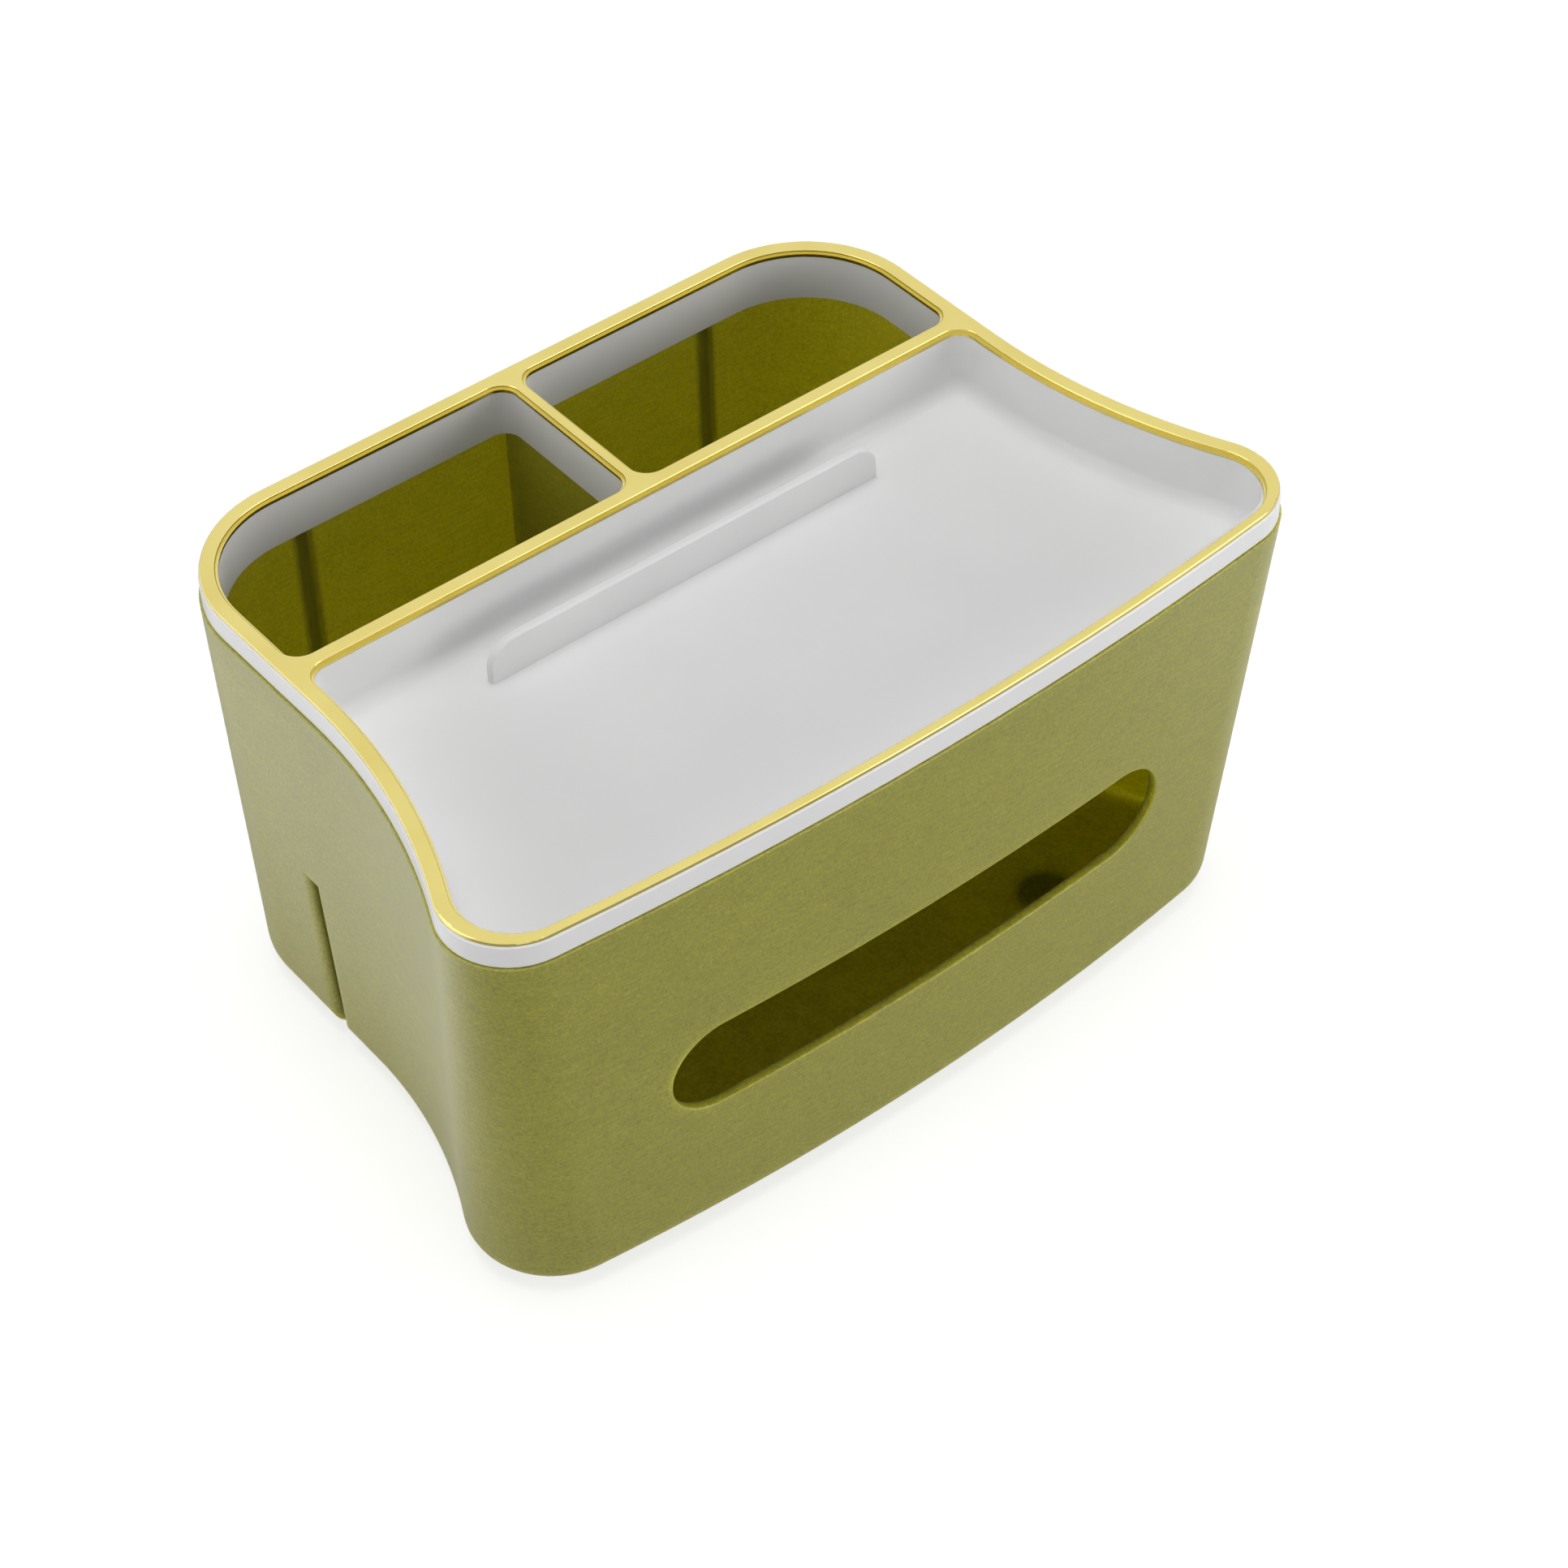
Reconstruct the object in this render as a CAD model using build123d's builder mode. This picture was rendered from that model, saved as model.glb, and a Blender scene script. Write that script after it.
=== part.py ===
"""Tissue box with an organiser lid: a flared shell, a lift-off tray lid, a metal-look trim and feet."""

from build123d import *
from math import hypot, sqrt
import os

# Overall size
width = 200.0
depth = 140.0
height = 110.0
foot_height = 3.0

# Plan at the rim, seen from above: upright rear, waisted sides, bowed front
rear_width_share = 0.861
rear_corner_radius = 27.3
waist_setback = 8.4
front_corner_radius = 15.0
rim_bow_rise = 5.9

# Plan at the base, drawn in from the rim
side_draft = 5.4
rear_side_draft = 4.2
front_draft = 5.2
base_rear_corner_radius = 24.0
base_front_corner_radius = 18.5
base_bow_rise = 7.3
base_edge_radius = 4.5
rear_flat_depth = 0.05

# Shell
wall = 2.1
floor_thickness = 2.6
floor_fillet = 1.5
shell_lip_radius = 0.3
slot_length = 124.5
slot_height = 23.5
slot_centre_height = 50.0
slot_pocket_depth = 30.0
slot_edge_radius = 0.35
groove_top = 49.9
groove_width = 4.2
groove_depth = 5.0
groove_edge_radius = 2.0
channel_offset_share = 0.6
channel_width = 4.0
channel_depth = 0.8

# Lid
band_height = 5.0
band_wall = 1.6
band_set_in = 0.5
flange_thickness = 3.2
shadow_gap_height = 0.3
shadow_gap_depth = 0.7
band_edge_radius = 0.5
lid_wall = 1.3
skirt_depth = 12.5
tray_depth = 15.0
tray_floor_thickness = 1.8
tray_fillet = 3.0
compartment_depth = 42.3
bar_width = 4.1
partition_width = 3.2
window_corner_radius = 4.0
ridge_length = 97.0
ridge_height = 9.2
ridge_thickness = 2.0
ridge_corner_radius = 6.0
ridge_edge_radius = 0.6
phone_gap = 10.3

# Trim
trim_thickness = 1.0
trim_set_in = 0.3
trim_front_width = 2.8
trim_reveal = 0.1
trim_lip_depth = 0.7
trim_lip_width = 0.9
trim_step = 0.5
trim_outer_radius = 0.6
trim_inner_radius = 0.6

# Feet
foot_radius = 6.0
foot_recess_depth = 0.9
foot_edge_radius = 0.6
foot_margin = 17.0
foot_front_share = 0.56

# Fits
lid_gap = 0.35
trim_gap = 0.1
foot_gap = 0.15
overrun = 5.0

# Levels above the table
trim_bottom = height - trim_thickness
band_bottom = trim_bottom - band_height
shell_top = band_bottom - shadow_gap_height
skirt_bottom = height - skirt_depth
tray_floor = height - tray_depth
tray_bottom = tray_floor - tray_floor_thickness
shell_floor = foot_height + floor_thickness
lip_bottom = trim_bottom - trim_lip_depth
inner_wall_top = skirt_bottom - lid_gap

# Plan positions
rear = depth / 2
front = -depth / 2
half_width = width / 2
rear_half_width = rear_width_share * half_width
wall_lean = max(side_draft, front_draft) * (shell_top - tray_bottom) / (shell_top - foot_height)
lid_inset = wall + wall_lean + lid_gap
window_inset = lid_inset + lid_wall
trim_inset = window_inset + trim_reveal
bar_rear = rear - trim_inset - compartment_depth
bar_front = bar_rear - bar_width
half_partition = partition_width / 2
bay_wall_front = bar_front + trim_reveal + lid_wall + lid_gap
bay_wall_rear = bay_wall_front + wall
waist_end = bay_wall_front - waist_setback
ridge_rear = bar_front - phone_gap
groove_front = bay_wall_rear
groove_rear = groove_front + groove_width
rebate = trim_lip_width + trim_gap
lip_inset = trim_inset - trim_lip_width
lip_corner_radius = window_corner_radius + trim_lip_width
step_corner_radius = window_corner_radius + trim_step
foot_front = front + front_draft + base_bow_rise + foot_margin
foot_rear = rear - foot_margin
foot_front_x = foot_front_share * half_width
foot_rear_x = rear_half_width - rear_side_draft - foot_margin
foot_places = [
    (-foot_front_x, foot_front),
    (foot_front_x, foot_front),
    (-foot_rear_x, foot_rear),
    (foot_rear_x, foot_rear),
]


def bow_radius(half, rise):
    """Radius of an arc that rises by the given height over a half chord."""
    return (half * half + rise * rise) / (2 * rise)


def plan_sketch(half, rear_half, front_y, rear_y, rear_r, corner_r, bow_r):
    """Waisted outline of tangent arcs and lines, from its limits and radii."""
    corner_x = half - corner_r
    bow_y = front_y + bow_r
    corner_y = bow_y - sqrt((bow_r - corner_r) ** 2 - corner_x ** 2)
    waist_r = bow_radius(waist_end - corner_y, half - rear_half) - corner_r
    waist_x = rear_half + waist_r
    bow_reach = bow_r / hypot(corner_x, corner_y - bow_y)
    waist_reach = corner_r / (waist_r + corner_r)
    bow_end = (corner_x * bow_reach, bow_y + (corner_y - bow_y) * bow_reach)
    corner_end_x = corner_x + (waist_x - corner_x) * waist_reach
    corner_end_y = corner_y + (waist_end - corner_y) * waist_reach
    with BuildSketch() as plan:
        with BuildLine():
            bow = TangentArc((0, front_y), bow_end, tangent=(1, 0))
            corner = TangentArc(bow @ 1, (corner_end_x, corner_end_y), tangent=bow % 1)
            waist = TangentArc(corner @ 1, (rear_half, waist_end), tangent=corner % 1)
            side = Line(waist @ 1, (rear_half, rear_y - rear_r))
            rear_corner = TangentArc(side @ 1, (rear_half - rear_r, rear_y), tangent=side % 1)
            Line(rear_corner @ 1, (0, rear_y))
            mirror(about=Plane.YZ)
        make_face()
    return plan.sketch


def rim_plan(inset, front_inset=None):
    """Outline at the rim, drawn in by an inset, with its own inset along the front if given."""
    ahead = inset if front_inset is None else front_inset
    bow = bow_radius(half_width, rim_bow_rise)
    return plan_sketch(
        half_width - inset,
        rear_half_width - inset,
        front + ahead,
        rear - inset,
        rear_corner_radius - inset,
        front_corner_radius - ahead,
        bow - ahead,
    )


def base_plan(inset):
    """Outline at the base, drawn in by an inset."""
    half = half_width - side_draft
    bow = bow_radius(half, base_bow_rise)
    return plan_sketch(
        half - inset,
        rear_half_width - rear_side_draft - inset,
        front + front_draft + inset,
        rear - inset,
        base_rear_corner_radius - inset,
        base_front_corner_radius - inset,
        bow - inset,
    )


def tray_window(inset, front_inset, grow, radius):
    """Opening in front of the bar, grown towards the bar."""
    with BuildSketch() as window:
        add(rim_plan(inset, front_inset))
        with Locations((0, bar_front + grow)):
            Rectangle(2 * width, 2 * depth, align=(Align.CENTER, Align.MAX), mode=Mode.INTERSECT)
        fillet(window.vertices().group_by(Axis.Y)[-1], radius)
    return window.sketch


def compartment_windows(inset, grow, radius):
    """Openings behind the bar on both sides of the partition, grown towards both."""
    with BuildSketch() as window:
        add(rim_plan(inset))
        with Locations((-half_partition + grow, bar_rear - grow)):
            Rectangle(2 * width, 2 * depth, align=(Align.MAX, Align.MIN), mode=Mode.INTERSECT)
        by_partition = window.vertices().group_by(Axis.X)[-1]
        beside_bar = window.vertices().group_by(Axis.Y)[0].sort_by(Axis.X)[0]
        fillet([*by_partition, beside_bar], radius)
        mirror(about=Plane.YZ)
    return window.sketch


# Space inside the shell, with the walls that stand in it left out
with BuildPart() as cavity:
    with BuildSketch(Plane.XY.offset(foot_height)):
        add(base_plan(wall))
    with BuildSketch(Plane.XY.offset(shell_top)):
        add(rim_plan(wall))
    loft(ruled=True)
    split(bisect_by=Plane.XY.offset(shell_floor), keep=Keep.TOP)
    # shallow upright channels in the rear wall
    channel_radius = (channel_width ** 2 / 4 + channel_depth ** 2) / (2 * channel_depth)
    channel_x = channel_offset_share * rear_half_width
    channel_y = rear - wall + channel_depth - channel_radius
    with BuildSketch(Plane.XY.offset(shell_floor)):
        with Locations((-channel_x, channel_y), (channel_x, channel_y)):
            Circle(channel_radius)
    extrude(amount=inner_wall_top - shell_floor)
    # wall between the tissue bay and the compartments, and the one between the compartments
    with BuildSketch(Plane.XY.offset(shell_floor - overrun)):
        with Locations((0, bay_wall_front)):
            Rectangle(2 * width, wall, align=(Align.CENTER, Align.MIN))
            Rectangle(wall, depth, align=(Align.CENTER, Align.MIN))
    extrude(amount=inner_wall_top - shell_floor + overrun, mode=Mode.SUBTRACT)
    # thickened wall behind each side groove
    boss_x = rear_half_width - rear_side_draft - groove_depth - wall
    with BuildSketch(Plane.XY.offset(shell_floor - overrun)):
        with Locations((boss_x, bay_wall_front)):
            Rectangle(width, groove_rear + wall - bay_wall_front, align=(Align.MIN, Align.MIN))
        mirror(about=Plane.YZ)
    extrude(amount=groove_top + wall - shell_floor + overrun, mode=Mode.SUBTRACT)
    fillet(faces().group_by(Axis.Z)[0].edges(), floor_fillet)

# Upright groove of the right side, crisp in front and rounded at the rear
with BuildPart() as groove:
    groove_lean = rear_side_draft / (shell_top - foot_height)
    for level in (foot_height - overrun, groove_top):
        side_x = rear_half_width - rear_side_draft + groove_lean * (level - foot_height)
        with BuildSketch(Plane.XY.offset(level)):
            with BuildLine():
                slope_end = (side_x, groove_rear + groove_edge_radius)
                rear_edge = TangentArc((side_x - groove_edge_radius, groove_rear), slope_end, tangent=(1, 0))
                Polyline(
                    rear_edge @ 1,
                    (side_x + overrun, groove_rear + groove_edge_radius),
                    (side_x + overrun, groove_front),
                    (side_x - groove_depth, groove_front),
                    (side_x - groove_depth, groove_rear),
                    rear_edge @ 0,
                )
            make_face()
    loft(ruled=True)

# Shell
with BuildPart() as shell:
    with BuildSketch(Plane.XY.offset(foot_height)):
        add(base_plan(0))
    with BuildSketch(Plane.XY.offset(shell_top)):
        add(rim_plan(0))
    loft(ruled=True)
    fillet(faces().sort_by(Axis.Z)[0].edges(), base_edge_radius)
    fillet(faces().sort_by(Axis.Z)[-1].edges(), shell_lip_radius)
    # flat rear face, which can stand against a wall
    split(bisect_by=Plane.XZ.offset(rear_flat_depth - rear), keep=Keep.TOP)
    # tissue slot across the front
    slot_plane = front + front_draft + slot_pocket_depth
    with BuildSketch(Plane.XZ.offset(-slot_plane)):
        with Locations((0, slot_centre_height)):
            SlotOverall(slot_length, slot_height)
    extrude(amount=slot_pocket_depth + front_draft + overrun, mode=Mode.SUBTRACT)
    mouth_limit = slot_plane - slot_pocket_depth / 2 - overrun
    mouth = edges(Select.LAST).filter_by(lambda edge: edge.center().Y < mouth_limit)
    fillet(mouth, slot_edge_radius)
    add(cavity.part, mode=Mode.SUBTRACT)
    add(groove.part, mode=Mode.SUBTRACT)
    mirror(groove.part, about=Plane.YZ, mode=Mode.SUBTRACT)
    # recesses for the feet
    with BuildSketch(Plane.XY.offset(foot_height)):
        with Locations(*foot_places):
            Circle(foot_radius + foot_gap)
    extrude(amount=foot_recess_depth, mode=Mode.SUBTRACT)

# Lid
with BuildPart() as lid:
    with BuildSketch(Plane.XY.offset(band_bottom)):
        add(rim_plan(band_set_in))
    extrude(amount=band_height)
    fillet(faces().sort_by(Axis.Z)[-1].edges(), band_edge_radius)
    # ring that stands on the shell behind a shadow gap
    with BuildSketch(Plane.XY.offset(shell_top)):
        add(rim_plan(band_set_in + shadow_gap_depth))
    extrude(amount=shadow_gap_height)
    with BuildSketch(Plane.XY.offset(shell_top)):
        add(rim_plan(band_set_in + band_wall))
    extrude(amount=trim_bottom - flange_thickness - shell_top, mode=Mode.SUBTRACT)
    # block of the tray and the skirts, inside the shell
    with BuildSketch(Plane.XY.offset(skirt_bottom)):
        add(rim_plan(lid_inset))
    extrude(amount=trim_bottom - skirt_bottom)
    with BuildSketch(Plane.XY.offset(tray_bottom)):
        add(tray_window(lid_inset, lid_inset, trim_reveal + lid_wall, window_corner_radius + lid_wall))
    extrude(amount=skirt_bottom - tray_bottom)
    fillet(faces().sort_by(Axis.Z)[0].edges(), tray_fillet)
    # tray
    with BuildSketch(Plane.XY.offset(tray_floor)):
        add(tray_window(window_inset, window_inset, trim_reveal, window_corner_radius))
    extrude(amount=tray_depth, mode=Mode.SUBTRACT)
    fillet(faces().filter_by_position(Axis.Z, tray_floor, tray_floor)[0].edges(), tray_fillet)
    # compartments
    with BuildSketch(Plane.XY.offset(tray_bottom)):
        add(compartment_windows(window_inset, trim_reveal, window_corner_radius))
    extrude(amount=height - tray_bottom, mode=Mode.SUBTRACT)
    # rebates that take the lips of the trim
    with BuildSketch(Plane.XY.offset(lip_bottom - trim_gap)):
        add(tray_window(trim_inset - rebate, trim_front_width - rebate, rebate, window_corner_radius + rebate))
    extrude(amount=trim_lip_depth + overrun, mode=Mode.SUBTRACT)
    with BuildSketch(Plane.XY.offset(lip_bottom - trim_gap)):
        add(compartment_windows(trim_inset - rebate, rebate, window_corner_radius + rebate))
    extrude(amount=trim_lip_depth + overrun, mode=Mode.SUBTRACT)
    # ridge
    with BuildSketch(Plane.XZ.offset(-ridge_rear)):
        with Locations((0, tray_bottom)):
            Rectangle(ridge_length, tray_floor_thickness + ridge_height, align=(Align.CENTER, Align.MIN))
        fillet(vertices().group_by(Axis.Y)[-1], ridge_corner_radius)
    extrude(amount=ridge_thickness)
    ridge_shoulder = tray_floor + ridge_height - ridge_corner_radius
    ridge_rim = edges(Select.LAST).filter_by(lambda edge: edge.center().Z > ridge_shoulder)
    fillet(ridge_rim.filter_by(Axis.Y, reverse=True), ridge_edge_radius)

# Trim
with BuildPart() as trim:
    with BuildSketch(Plane.XY.offset(trim_bottom)):
        add(rim_plan(band_set_in + trim_set_in))
    extrude(amount=trim_thickness)
    fillet(faces().sort_by(Axis.Z)[-1].edges(), trim_outer_radius)
    with BuildSketch(Plane.XY.offset(lip_bottom)):
        add(tray_window(lip_inset, trim_front_width - trim_lip_width, trim_lip_width, lip_corner_radius))
    extrude(amount=trim_lip_depth)
    with BuildSketch(Plane.XY.offset(lip_bottom)):
        add(compartment_windows(lip_inset, trim_lip_width, lip_corner_radius))
    extrude(amount=trim_lip_depth)
    with BuildSketch(Plane.XY.offset(lip_bottom)):
        add(tray_window(trim_inset, trim_front_width, 0, window_corner_radius))
    extrude(amount=height - lip_bottom, mode=Mode.SUBTRACT)
    with BuildSketch(Plane.XY.offset(lip_bottom)):
        add(compartment_windows(trim_inset, 0, window_corner_radius))
    extrude(amount=height - lip_bottom, mode=Mode.SUBTRACT)
    # step in each window, which leaves the lip as a ledge except along the front
    with BuildSketch(Plane.XY.offset(trim_bottom)):
        add(tray_window(trim_inset - trim_step, trim_front_width, trim_step, step_corner_radius))
    extrude(amount=trim_thickness, mode=Mode.SUBTRACT)
    with BuildSketch(Plane.XY.offset(trim_bottom)):
        add(compartment_windows(trim_inset - trim_step, trim_step, step_corner_radius))
    extrude(amount=trim_thickness, mode=Mode.SUBTRACT)
    window_edges = faces().sort_by(Axis.Z)[-1].inner_wires().edges()
    fillet(window_edges, trim_inner_radius)

# Feet
with BuildPart() as feet:
    with BuildSketch():
        with Locations(*foot_places):
            Circle(foot_radius)
    extrude(amount=foot_height + foot_recess_depth)
    fillet(faces().group_by(Axis.Z)[0].edges(), foot_edge_radius)

shell.part.label = "shell"
lid.part.label = "lid_tray"
trim.part.label = "trim_frame"
feet.part.label = "feet"

os.makedirs("parts", exist_ok=True)
export_step(shell.part, "parts/shell.step")
export_step(lid.part, "parts/lid_tray.step")
export_step(trim.part, "parts/trim_frame.step")
export_step(feet.part, "parts/feet.step")
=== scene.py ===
"""Tissue box with an organiser lid: looks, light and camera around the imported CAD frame."""

import math

import bpy
from mathutils import Matrix, Vector

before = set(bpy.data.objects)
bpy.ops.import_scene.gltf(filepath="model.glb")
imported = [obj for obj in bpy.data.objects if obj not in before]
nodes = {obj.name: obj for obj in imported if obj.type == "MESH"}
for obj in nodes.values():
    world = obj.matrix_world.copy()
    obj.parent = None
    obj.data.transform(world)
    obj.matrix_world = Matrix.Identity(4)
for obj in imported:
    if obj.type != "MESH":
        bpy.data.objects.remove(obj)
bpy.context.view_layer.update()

# Camera, in metres and degrees
IMAGE_SIDE = 1932
FOCAL_PIXELS = 4473.704
SENSOR_MM = 36.0
AZIMUTH = math.radians(-38.2974)
ELEVATION = math.radians(44.5247)
ROLL = math.radians(-1.3362)
DISTANCE = 0.782484
TARGET = Vector((0.0231909, 0.0079694, 0.0219774))
CLIP_START = 0.01
CLIP_END = 20.0

# Sky: a faint level all over, a bright patch overhead and a bright ring above the horizon,
# which is weaker at the rear and behind a screen at the front left
WHITE = (1.0, 1.0, 1.0, 1.0)
SKY_LEVEL = 0.05
SKY_TOP = 7.0
SKY_TOP_POWER = 24.0
SKY_LOW = 2.2
SKY_LOW_HEIGHT = (0.47, 0.13)
SKY_REAR = 0.3
SKY_REAR_Y = (0.1, 0.7)
SKY_SCREEN = 0.35
SKY_SCREEN_TOWARDS = (-0.60, -0.80, 0.0)
SKY_SCREEN_EDGE = (0.55, 0.95)
BACKGROUND = 1.0

# Floor: a pale table that is softly lit from below
FLOOR_SIZE = 4.0
FLOOR_DROP = 0.0002
FLOOR_PALE = (0.30, 0.30, 0.30, 1.0)
FLOOR_LIT = 0.30
FLOOR_SEEN = (0.45, 0.45, 0.45, 1.0)
FLOOR_GLOW = 0.72

# What gloss shows of the floor: bright at the left, middling at the right and dark in front
FLOOR_DARK = 0.40
FLOOR_LEFT = 1.25
FLOOR_RIGHT = 0.80
LEFT_X = (-0.07, -0.13)
LEFT_Y = (-0.07, 0.05)
RIGHT_X = (0.05, 0.22)

# Lamps: place, size and strength
LAMP_AIM = (0.0, 0.0, 0.06)
FRONT_LAMP = ((0.45, -0.60, 0.22), 0.4, 2.1)
LEFT_LAMP = ((-0.9, 0.20, 0.30), 0.6, 1.1)

# Noise is mostly between these values
NOISE_LOW = 0.3
NOISE_HIGH = 0.7

PLASTIC_IOR = 1.5
RUBBER_IOR = 1.45

# Olive plastic
OLIVE_COAT = 0.8
OLIVE_COAT_ROUGHNESS = 0.4
OLIVE_DEPTH = 0.011
OLIVE_DEPTH_SHARES = (1.0, 0.95, 0.25)
OLIVE_GRAIN = (1500.0, 3.0, 0.7)
OLIVE_CLOUD = (34.0, 2.0)
OLIVE_STREAK = (1900.0, 2.0)
OLIVE_STREAK_STRETCH = (0.12, 0.12, 1.0)
OLIVE_COLOURS = ((0.270, 0.256, 0.009, 1.0), (0.455, 0.432, 0.036, 1.0))
OLIVE_TONES = ((0.95, 0.95, 0.94, 1.0), (1.0, 1.0, 1.0, 1.0))
OLIVE_DRIFTS = ((0.86, 0.86, 0.80, 1.0), (1.02, 1.02, 1.02, 1.0))
OLIVE_ROUGHNESS = (0.42, 0.54)
OLIVE_BUMP = 0.25
OLIVE_BUMP_HEIGHT = 0.00006

# Painted shade: dark bands on the inner side of the rear wall
BAND_SHADE_COLOUR = (0.016, 0.015, 0.002, 1.0)
BAND_X = 0.05166
BAND_CORE = 0.0009
BAND_EDGE = 0.0032
BAND_Y_START = (0.0662, 0.0668)
BAND_Y_END = (0.0694, 0.0690)

# Painted shade in the grooves of the sides, darker with their depth under the outer side
GROOVE_SHADE_COLOUR = (0.036, 0.034, 0.004, 1.0)
GROOVE_X = 0.08178
GROOVE_LEAN = 0.0417
GROOVE_DEPTH_START = (0.0002, 0.0036)
GROOVE_DEPTH_END = (0.0058, 0.0053)
GROOVE_Y_START = (0.0226, 0.0229)
GROOVE_Y_END = (0.0304, 0.0294)
GROOVE_TOP = (0.0502, 0.0500)

# White plastic
WHITE_WAVE = (42.0, 1.0)
WHITE_FINE = (1400.0, 2.0)
WHITE_COLOURS = ((0.835, 0.835, 0.837, 1.0), (0.860, 0.860, 0.860, 1.0))
WHITE_ROUGHNESS = (0.29, 0.32)
WHITE_BUMP = 0.01
WHITE_BUMP_HEIGHT = 0.00002

# Gold plating
GOLD_PEEL = (420.0, 2.0)
GOLD_CLOUD = (55.0, 2.0)
GOLD_COLOURS = ((0.735, 0.618, 0.195, 1.0), (0.79, 0.675, 0.238, 1.0))
GOLD_ROUGHNESS = (0.20, 0.23)
GOLD_BUMP = 0.02
GOLD_BUMP_HEIGHT = 0.00002

# Rubber
RUBBER_GRAIN = (1800.0, 3.0, 0.6)
RUBBER_COLOURS = ((0.068, 0.068, 0.066, 1.0), (0.095, 0.095, 0.092, 1.0))
RUBBER_ROUGHNESS = (0.72, 0.88)
RUBBER_BUMP = 0.35
RUBBER_BUMP_HEIGHT = 0.0001


class Graph:
    """Adds shader nodes to a tree. An input is a socket to link or a plain value."""

    def __init__(self, tree):
        self.tree = tree

    def add(self, kind, settings=None, **inputs):
        node = self.tree.nodes.new(kind)
        for name, value in (settings or {}).items():
            setattr(node, name, value)
        for name, value in inputs.items():
            self.put(node.inputs[name.replace("_", " ")], value)
        return node

    def put(self, socket, value):
        if isinstance(value, bpy.types.NodeSocket):
            self.tree.links.new(value, socket)
        else:
            socket.default_value = value

    def spread(self, noise, low=0.0, high=1.0):
        """The noise, spread from low to high."""
        node = self.add("ShaderNodeMapRange", {"clamp": True}, Value=noise)
        node.inputs["From Min"].default_value = NOISE_LOW
        node.inputs["From Max"].default_value = NOISE_HIGH
        node.inputs["To Min"].default_value = low
        node.inputs["To Max"].default_value = high
        return node.outputs["Result"]

    def math(self, operation, first, second=0.0):
        node = self.add("ShaderNodeMath", {"operation": operation})
        self.put(node.inputs[0], first)
        self.put(node.inputs[1], second)
        return node.outputs["Value"]

    def ramp(self, value, start, end, low=0.0, high=1.0):
        """Smooth change from low to high, while the value goes from start to end."""
        node = self.add("ShaderNodeMapRange", {"interpolation_type": "SMOOTHSTEP"}, Value=value)
        node.inputs["From Min"].default_value = start
        node.inputs["From Max"].default_value = end
        node.inputs["To Min"].default_value = low
        node.inputs["To Max"].default_value = high
        return node.outputs["Result"]

    def times(self, first, second):
        return self.math("MULTIPLY", first, second)

    def noise(self, coords, scale, detail, roughness=0.5):
        node = self.add("ShaderNodeTexNoise", Vector=coords, Scale=scale, Detail=detail, Roughness=roughness)
        return node.outputs["Fac"]

    def dot(self, first, second):
        node = self.add("ShaderNodeVectorMath", {"operation": "DOT_PRODUCT"})
        self.put(node.inputs[0], first)
        self.put(node.inputs[1], second)
        return node.outputs["Value"]

    def join(self, kind, first, second, **inputs):
        """Add or Mix shader of two shaders."""
        node = self.add(kind, **inputs)
        sockets = [socket for socket in node.inputs if socket.type == "SHADER"]
        self.put(sockets[0], first.outputs[0])
        self.put(sockets[1], second.outputs[0])
        return node

    def mix(self, share, first, second, kind="MIX"):
        """Mix of two colours, which are inputs 6 and 7 and output 2 of the node."""
        node = self.add("ShaderNodeMix", {"data_type": "RGBA", "blend_type": kind})
        self.put(node.inputs["Factor"], share)
        self.put(node.inputs[6], first)
        self.put(node.inputs[7], second)
        return node.outputs[2]


def new_material(name, **sockets):
    material = bpy.data.materials.new(name)
    material.use_nodes = True
    shader = material.node_tree.nodes["Principled BSDF"]
    for socket, value in sockets.items():
        shader.inputs[socket.replace("_", " ")].default_value = value
    graph = Graph(material.node_tree)
    coords = graph.add("ShaderNodeTexCoord").outputs["Object"]
    return material, shader, graph, coords


def finish_surface(graph, shader, height, roughness, bump, bump_height):
    """Roughness and bump from one noise."""
    graph.put(shader.inputs["Roughness"], graph.spread(height, *roughness))
    node = graph.add("ShaderNodeBump", Strength=bump, Distance=bump_height, Height=height)
    graph.put(shader.inputs["Normal"], node.outputs["Normal"])


def olive_grain(graph, coords, grain):
    cloud = graph.noise(coords, *OLIVE_CLOUD)
    drawn = graph.add("ShaderNodeMapping", Vector=coords, Scale=OLIVE_STREAK_STRETCH).outputs["Vector"]
    streak = graph.noise(drawn, *OLIVE_STREAK)
    pearl = graph.mix(graph.spread(grain), *OLIVE_COLOURS)
    tone = graph.mix(graph.spread(cloud), *OLIVE_TONES)
    drift = graph.mix(graph.spread(streak), *OLIVE_DRIFTS)
    return graph.mix(1.0, graph.mix(1.0, pearl, tone, "MULTIPLY"), drift, "MULTIPLY")


def painted_rear_band_shade(graph, parts):
    """1 in the middle of a band of painted shade on the inner side of the rear wall, and 0 away from it."""
    aside = graph.math("SUBTRACT", graph.math("ABSOLUTE", parts["X"]), BAND_X)
    beside = graph.ramp(graph.math("ABSOLUTE", aside), BAND_CORE, BAND_EDGE)
    inside = graph.times(graph.ramp(parts["Y"], *BAND_Y_START), graph.ramp(parts["Y"], *BAND_Y_END))
    return graph.times(graph.math("SUBTRACT", 1.0, beside), inside)


def painted_groove_shade(graph, parts):
    """1 deep in a groove of the sides, where shade is painted, and 0 outside it."""
    side = graph.math("ADD", graph.times(parts["Z"], GROOVE_LEAN), GROOVE_X)
    depth = graph.math("SUBTRACT", side, graph.math("ABSOLUTE", parts["X"]))
    sunk = graph.times(graph.ramp(depth, *GROOVE_DEPTH_START), graph.ramp(depth, *GROOVE_DEPTH_END))
    across = graph.times(graph.ramp(parts["Y"], *GROOVE_Y_START), graph.ramp(parts["Y"], *GROOVE_Y_END))
    return graph.times(sunk, graph.times(across, graph.ramp(parts["Z"], *GROOVE_TOP)))


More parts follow.
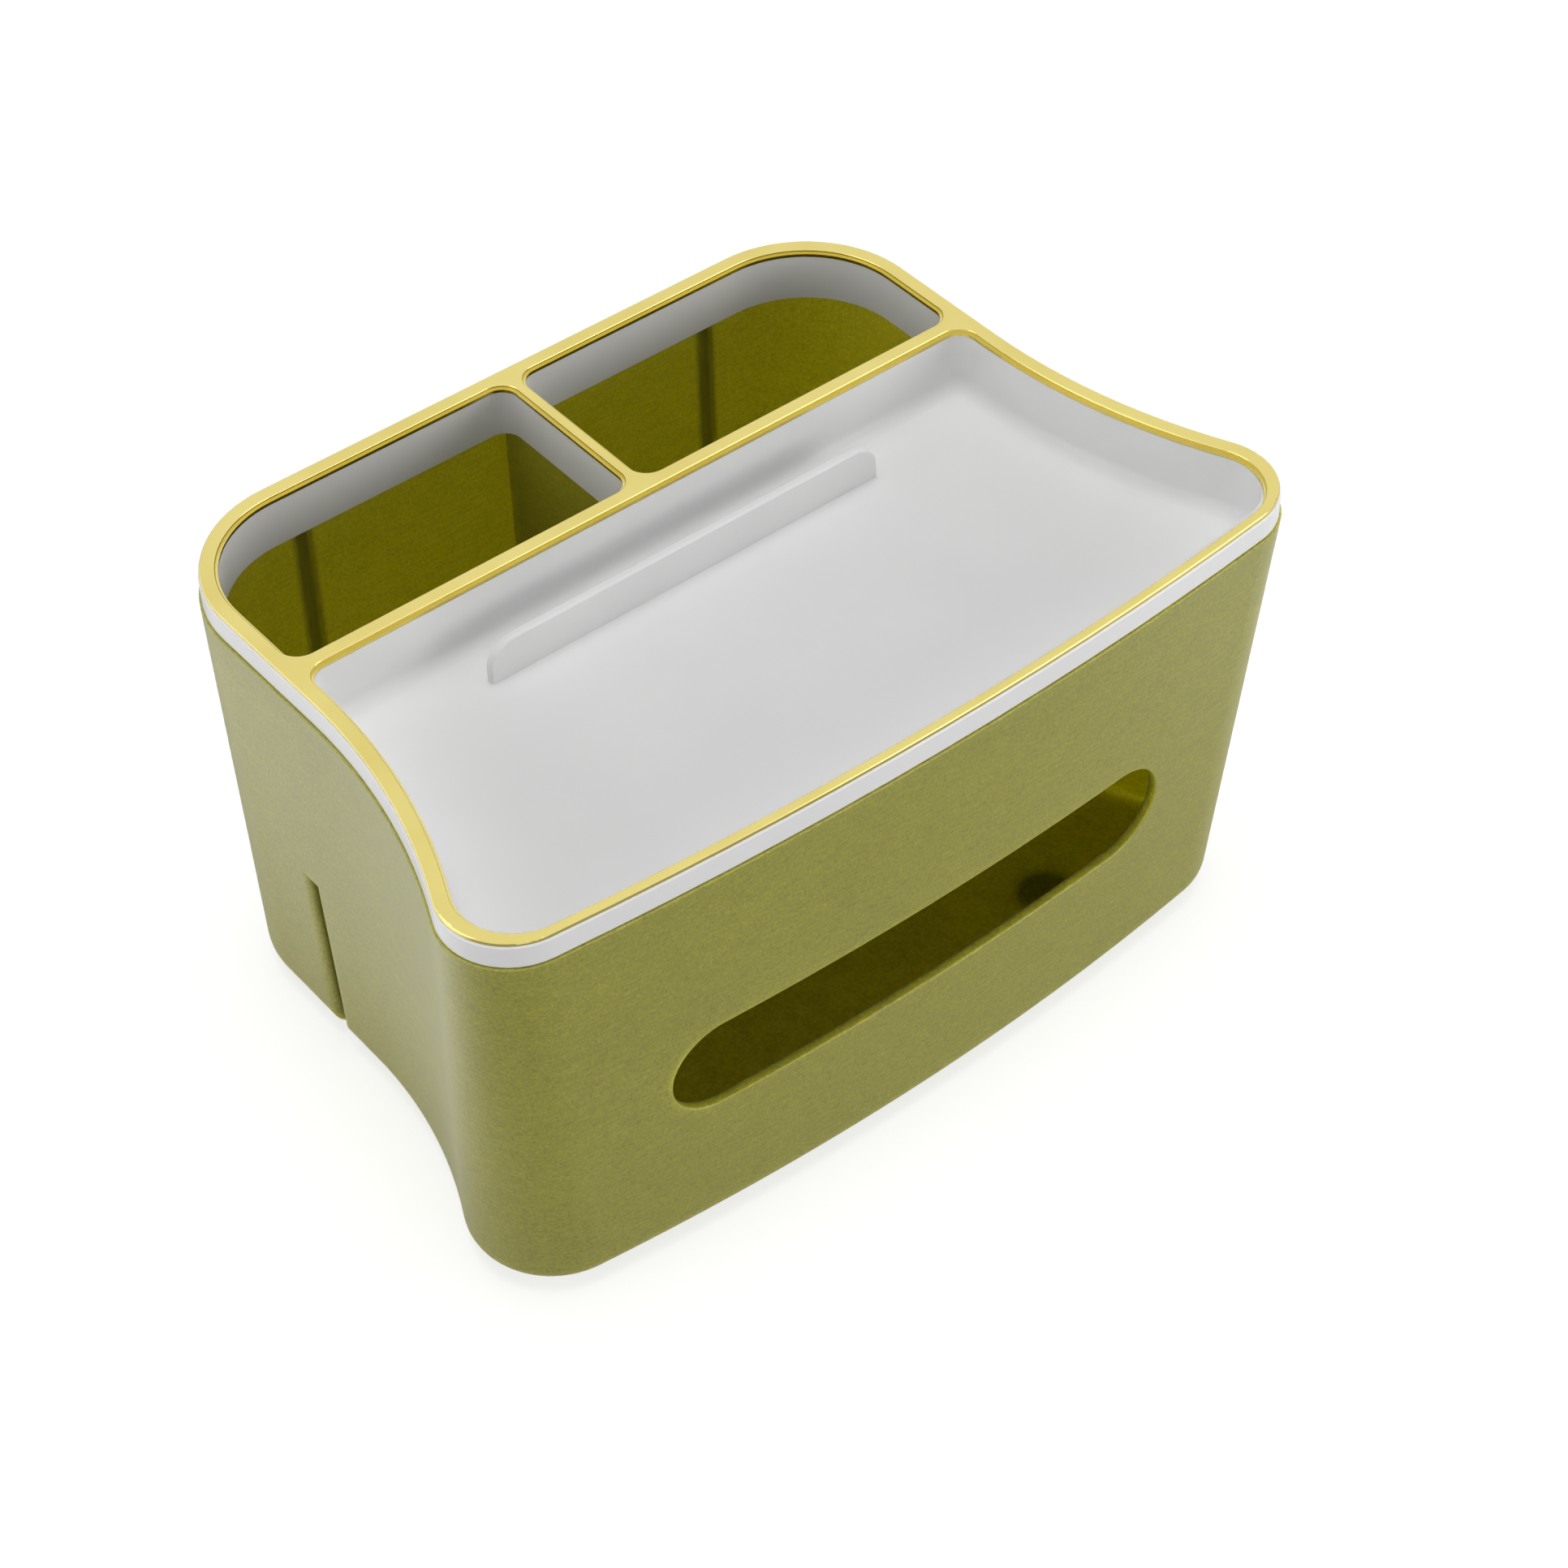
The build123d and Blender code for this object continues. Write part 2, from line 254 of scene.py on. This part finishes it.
def olive_plastic():
    """Satin translucent moulded plastic with a fine streaked grain, and painted shade in the side grooves
    and in two bands on the inner rear wall.
    """
    material, shader, graph, coords = new_material(
        "olive_plastic", IOR=PLASTIC_IOR, Coat_Weight=OLIVE_COAT, Coat_Roughness=OLIVE_COAT_ROUGHNESS,
        Subsurface_Weight=1.0, Subsurface_Radius=OLIVE_DEPTH_SHARES, Subsurface_Scale=OLIVE_DEPTH)
    grain = graph.noise(coords, *OLIVE_GRAIN)
    parts = graph.add("ShaderNodeSeparateXYZ", Vector=coords).outputs
    # Painted shade: the depth of the side grooves darkens the base colour
    colour = graph.mix(painted_groove_shade(graph, parts), olive_grain(graph, coords, grain), GROOVE_SHADE_COLOUR)
    # Painted shade: the bands on the inner rear wall darken the base colour
    graph.put(shader.inputs["Base Color"], graph.mix(painted_rear_band_shade(graph, parts), colour, BAND_SHADE_COLOUR))
    finish_surface(graph, shader, grain, OLIVE_ROUGHNESS, OLIVE_BUMP, OLIVE_BUMP_HEIGHT)
    return material


def white_plastic():
    """Gloss moulded plastic, very slightly wavy."""
    material, shader, graph, coords = new_material("white_plastic", IOR=PLASTIC_IOR)
    wave = graph.noise(coords, *WHITE_WAVE)
    fine = graph.noise(coords, *WHITE_FINE)
    graph.put(shader.inputs["Base Color"], graph.mix(graph.spread(wave), *WHITE_COLOURS))
    finish_surface(graph, shader, fine, WHITE_ROUGHNESS, WHITE_BUMP, WHITE_BUMP_HEIGHT)
    return material


def gold_trim():
    """Satin gold plating with a fine orange peel."""
    material, shader, graph, coords = new_material("gold_trim", Metallic=1.0, IOR=PLASTIC_IOR)
    peel = graph.noise(coords, *GOLD_PEEL)
    cloud = graph.noise(coords, *GOLD_CLOUD)
    graph.put(shader.inputs["Base Color"], graph.mix(graph.spread(cloud), *GOLD_COLOURS))
    finish_surface(graph, shader, peel, GOLD_ROUGHNESS, GOLD_BUMP, GOLD_BUMP_HEIGHT)
    return material


def foot_rubber():
    """Matt grey rubber."""
    material, shader, graph, coords = new_material("foot_rubber", IOR=RUBBER_IOR)
    grain = graph.noise(coords, *RUBBER_GRAIN)
    graph.put(shader.inputs["Base Color"], graph.mix(graph.spread(grain), *RUBBER_COLOURS))
    finish_surface(graph, shader, grain, RUBBER_ROUGHNESS, RUBBER_BUMP, RUBBER_BUMP_HEIGHT)
    return material


def dress(node, material):
    mesh = nodes[node].data
    mesh.materials.clear()
    mesh.materials.append(material)


def make_camera():
    level = Vector((-math.sin(AZIMUTH), math.cos(AZIMUTH), 0.0))
    look = math.cos(ELEVATION) * level - math.sin(ELEVATION) * Vector((0.0, 0.0, 1.0))
    right = Vector((math.cos(AZIMUTH), math.sin(AZIMUTH), 0.0))
    up = right.cross(look)
    turned = math.cos(ROLL) * right + math.sin(ROLL) * up
    raised = math.cos(ROLL) * up - math.sin(ROLL) * right
    place = TARGET - DISTANCE * look
    data = bpy.data.cameras.new("camera")
    data.sensor_width = SENSOR_MM
    data.lens = FOCAL_PIXELS / IMAGE_SIDE * SENSOR_MM
    data.clip_start = CLIP_START
    data.clip_end = CLIP_END
    camera = bpy.data.objects.new("camera", data)
    bpy.context.scene.collection.objects.link(camera)
    camera.matrix_world = Matrix(
        [[turned[i], raised[i], -look[i], place[i]] for i in range(3)] + [[0.0, 0.0, 0.0, 1.0]])
    bpy.context.scene.camera = camera


def softbox(name, place, size, strength):
    """Square lamp of an even brightness, where 1 is as bright as white."""
    data = bpy.data.lights.new(name, "AREA")
    data.shape = "SQUARE"
    data.size = size
    data.energy = strength * math.pi * size * size
    lamp = bpy.data.objects.new(name, data)
    bpy.context.scene.collection.objects.link(lamp)
    lamp.location = place
    lamp.visible_camera = False
    lamp.rotation_mode = "QUATERNION"
    lamp.rotation_quaternion = (Vector(LAMP_AIM) - Vector(place)).to_track_quat("-Z", "Y")


def make_world():
    world = bpy.data.worlds.new("studio")
    bpy.context.scene.world = world
    world.use_nodes = True
    tree = world.node_tree
    tree.nodes.clear()
    graph = Graph(tree)
    path = graph.add("ShaderNodeLightPath").outputs
    coords = graph.add("ShaderNodeTexCoord").outputs["Generated"]
    towards = graph.add("ShaderNodeSeparateXYZ", Vector=coords).outputs
    top = graph.math("POWER", graph.math("MAXIMUM", towards["Z"]), SKY_TOP_POWER)
    screen = graph.ramp(graph.dot(coords, SKY_SCREEN_TOWARDS), *SKY_SCREEN_EDGE, 1.0, SKY_SCREEN)
    rear = graph.ramp(towards["Y"], *SKY_REAR_Y, 1.0, SKY_REAR)
    ring = graph.times(graph.ramp(towards["Z"], *SKY_LOW_HEIGHT, 0.0, SKY_LOW), graph.times(rear, screen))
    level = graph.math("ADD", graph.times(top, SKY_TOP), graph.math("ADD", ring, SKY_LEVEL))
    light = graph.add("ShaderNodeBackground", Color=WHITE, Strength=level)
    white = graph.add("ShaderNodeBackground", Color=WHITE, Strength=BACKGROUND)
    seen = graph.math("MAXIMUM", path["Is Glossy Ray"], path["Is Transmission Ray"])
    seen = graph.math("MAXIMUM", seen, path["Is Camera Ray"])
    shown = graph.join("ShaderNodeMixShader", light, white, Fac=seen)
    graph.add("ShaderNodeOutputWorld", Surface=shown.outputs["Shader"])


def floor_material():
    """The camera sees the table with the object's shadow, gloss sees its bright and dark parts."""
    material = bpy.data.materials.new("pale_floor")
    material.use_nodes = True
    tree = material.node_tree
    tree.nodes.clear()
    graph = Graph(tree)
    path = graph.add("ShaderNodeLightPath").outputs
    coords = graph.add("ShaderNodeTexCoord").outputs["Object"]
    parts = graph.add("ShaderNodeSeparateXYZ", Vector=coords).outputs
    left = graph.times(graph.ramp(parts["X"], *LEFT_X), graph.ramp(parts["Y"], *LEFT_Y))
    left = graph.times(left, FLOOR_LEFT - FLOOR_DARK)
    right = graph.ramp(parts["X"], *RIGHT_X, 0.0, FLOOR_RIGHT - FLOOR_DARK)
    level = graph.math("ADD", graph.math("ADD", left, right), FLOOR_DARK)
    mirrored = graph.add("ShaderNodeEmission", Strength=level)
    pale = graph.add("ShaderNodeBsdfDiffuse", Color=FLOOR_PALE)
    lit = graph.add("ShaderNodeEmission", Strength=FLOOR_LIT)
    table = graph.join("ShaderNodeAddShader", pale, lit)
    soft = graph.add("ShaderNodeBsdfDiffuse", Color=FLOOR_SEEN)
    glow = graph.add("ShaderNodeEmission", Strength=FLOOR_GLOW)
    bright = graph.join("ShaderNodeAddShader", soft, glow)
    unseen = graph.join("ShaderNodeMixShader", table, mirrored, Fac=path["Is Glossy Ray"])
    shown = graph.join("ShaderNodeMixShader", unseen, bright, Fac=path["Is Camera Ray"])
    graph.add("ShaderNodeOutputMaterial", Surface=shown.outputs["Shader"])
    return material


def make_floor():
    half = FLOOR_SIZE / 2
    corners = [(-half, -half, 0.0), (half, -half, 0.0), (half, half, 0.0), (-half, half, 0.0)]
    mesh = bpy.data.meshes.new("floor")
    mesh.from_pydata(corners, [], [(0, 1, 2, 3)])
    mesh.materials.append(floor_material())
    floor = bpy.data.objects.new("floor", mesh)
    floor.location.z = -FLOOR_DROP
    bpy.context.scene.collection.objects.link(floor)


dress("shell", olive_plastic())
dress("lid_tray", white_plastic())
dress("trim_frame", gold_trim())
dress("feet", foot_rubber())
make_world()
make_floor()
softbox("front", *FRONT_LAMP)
softbox("left", *LEFT_LAMP)
make_camera()
bpy.context.scene.view_settings.view_transform = "Standard"
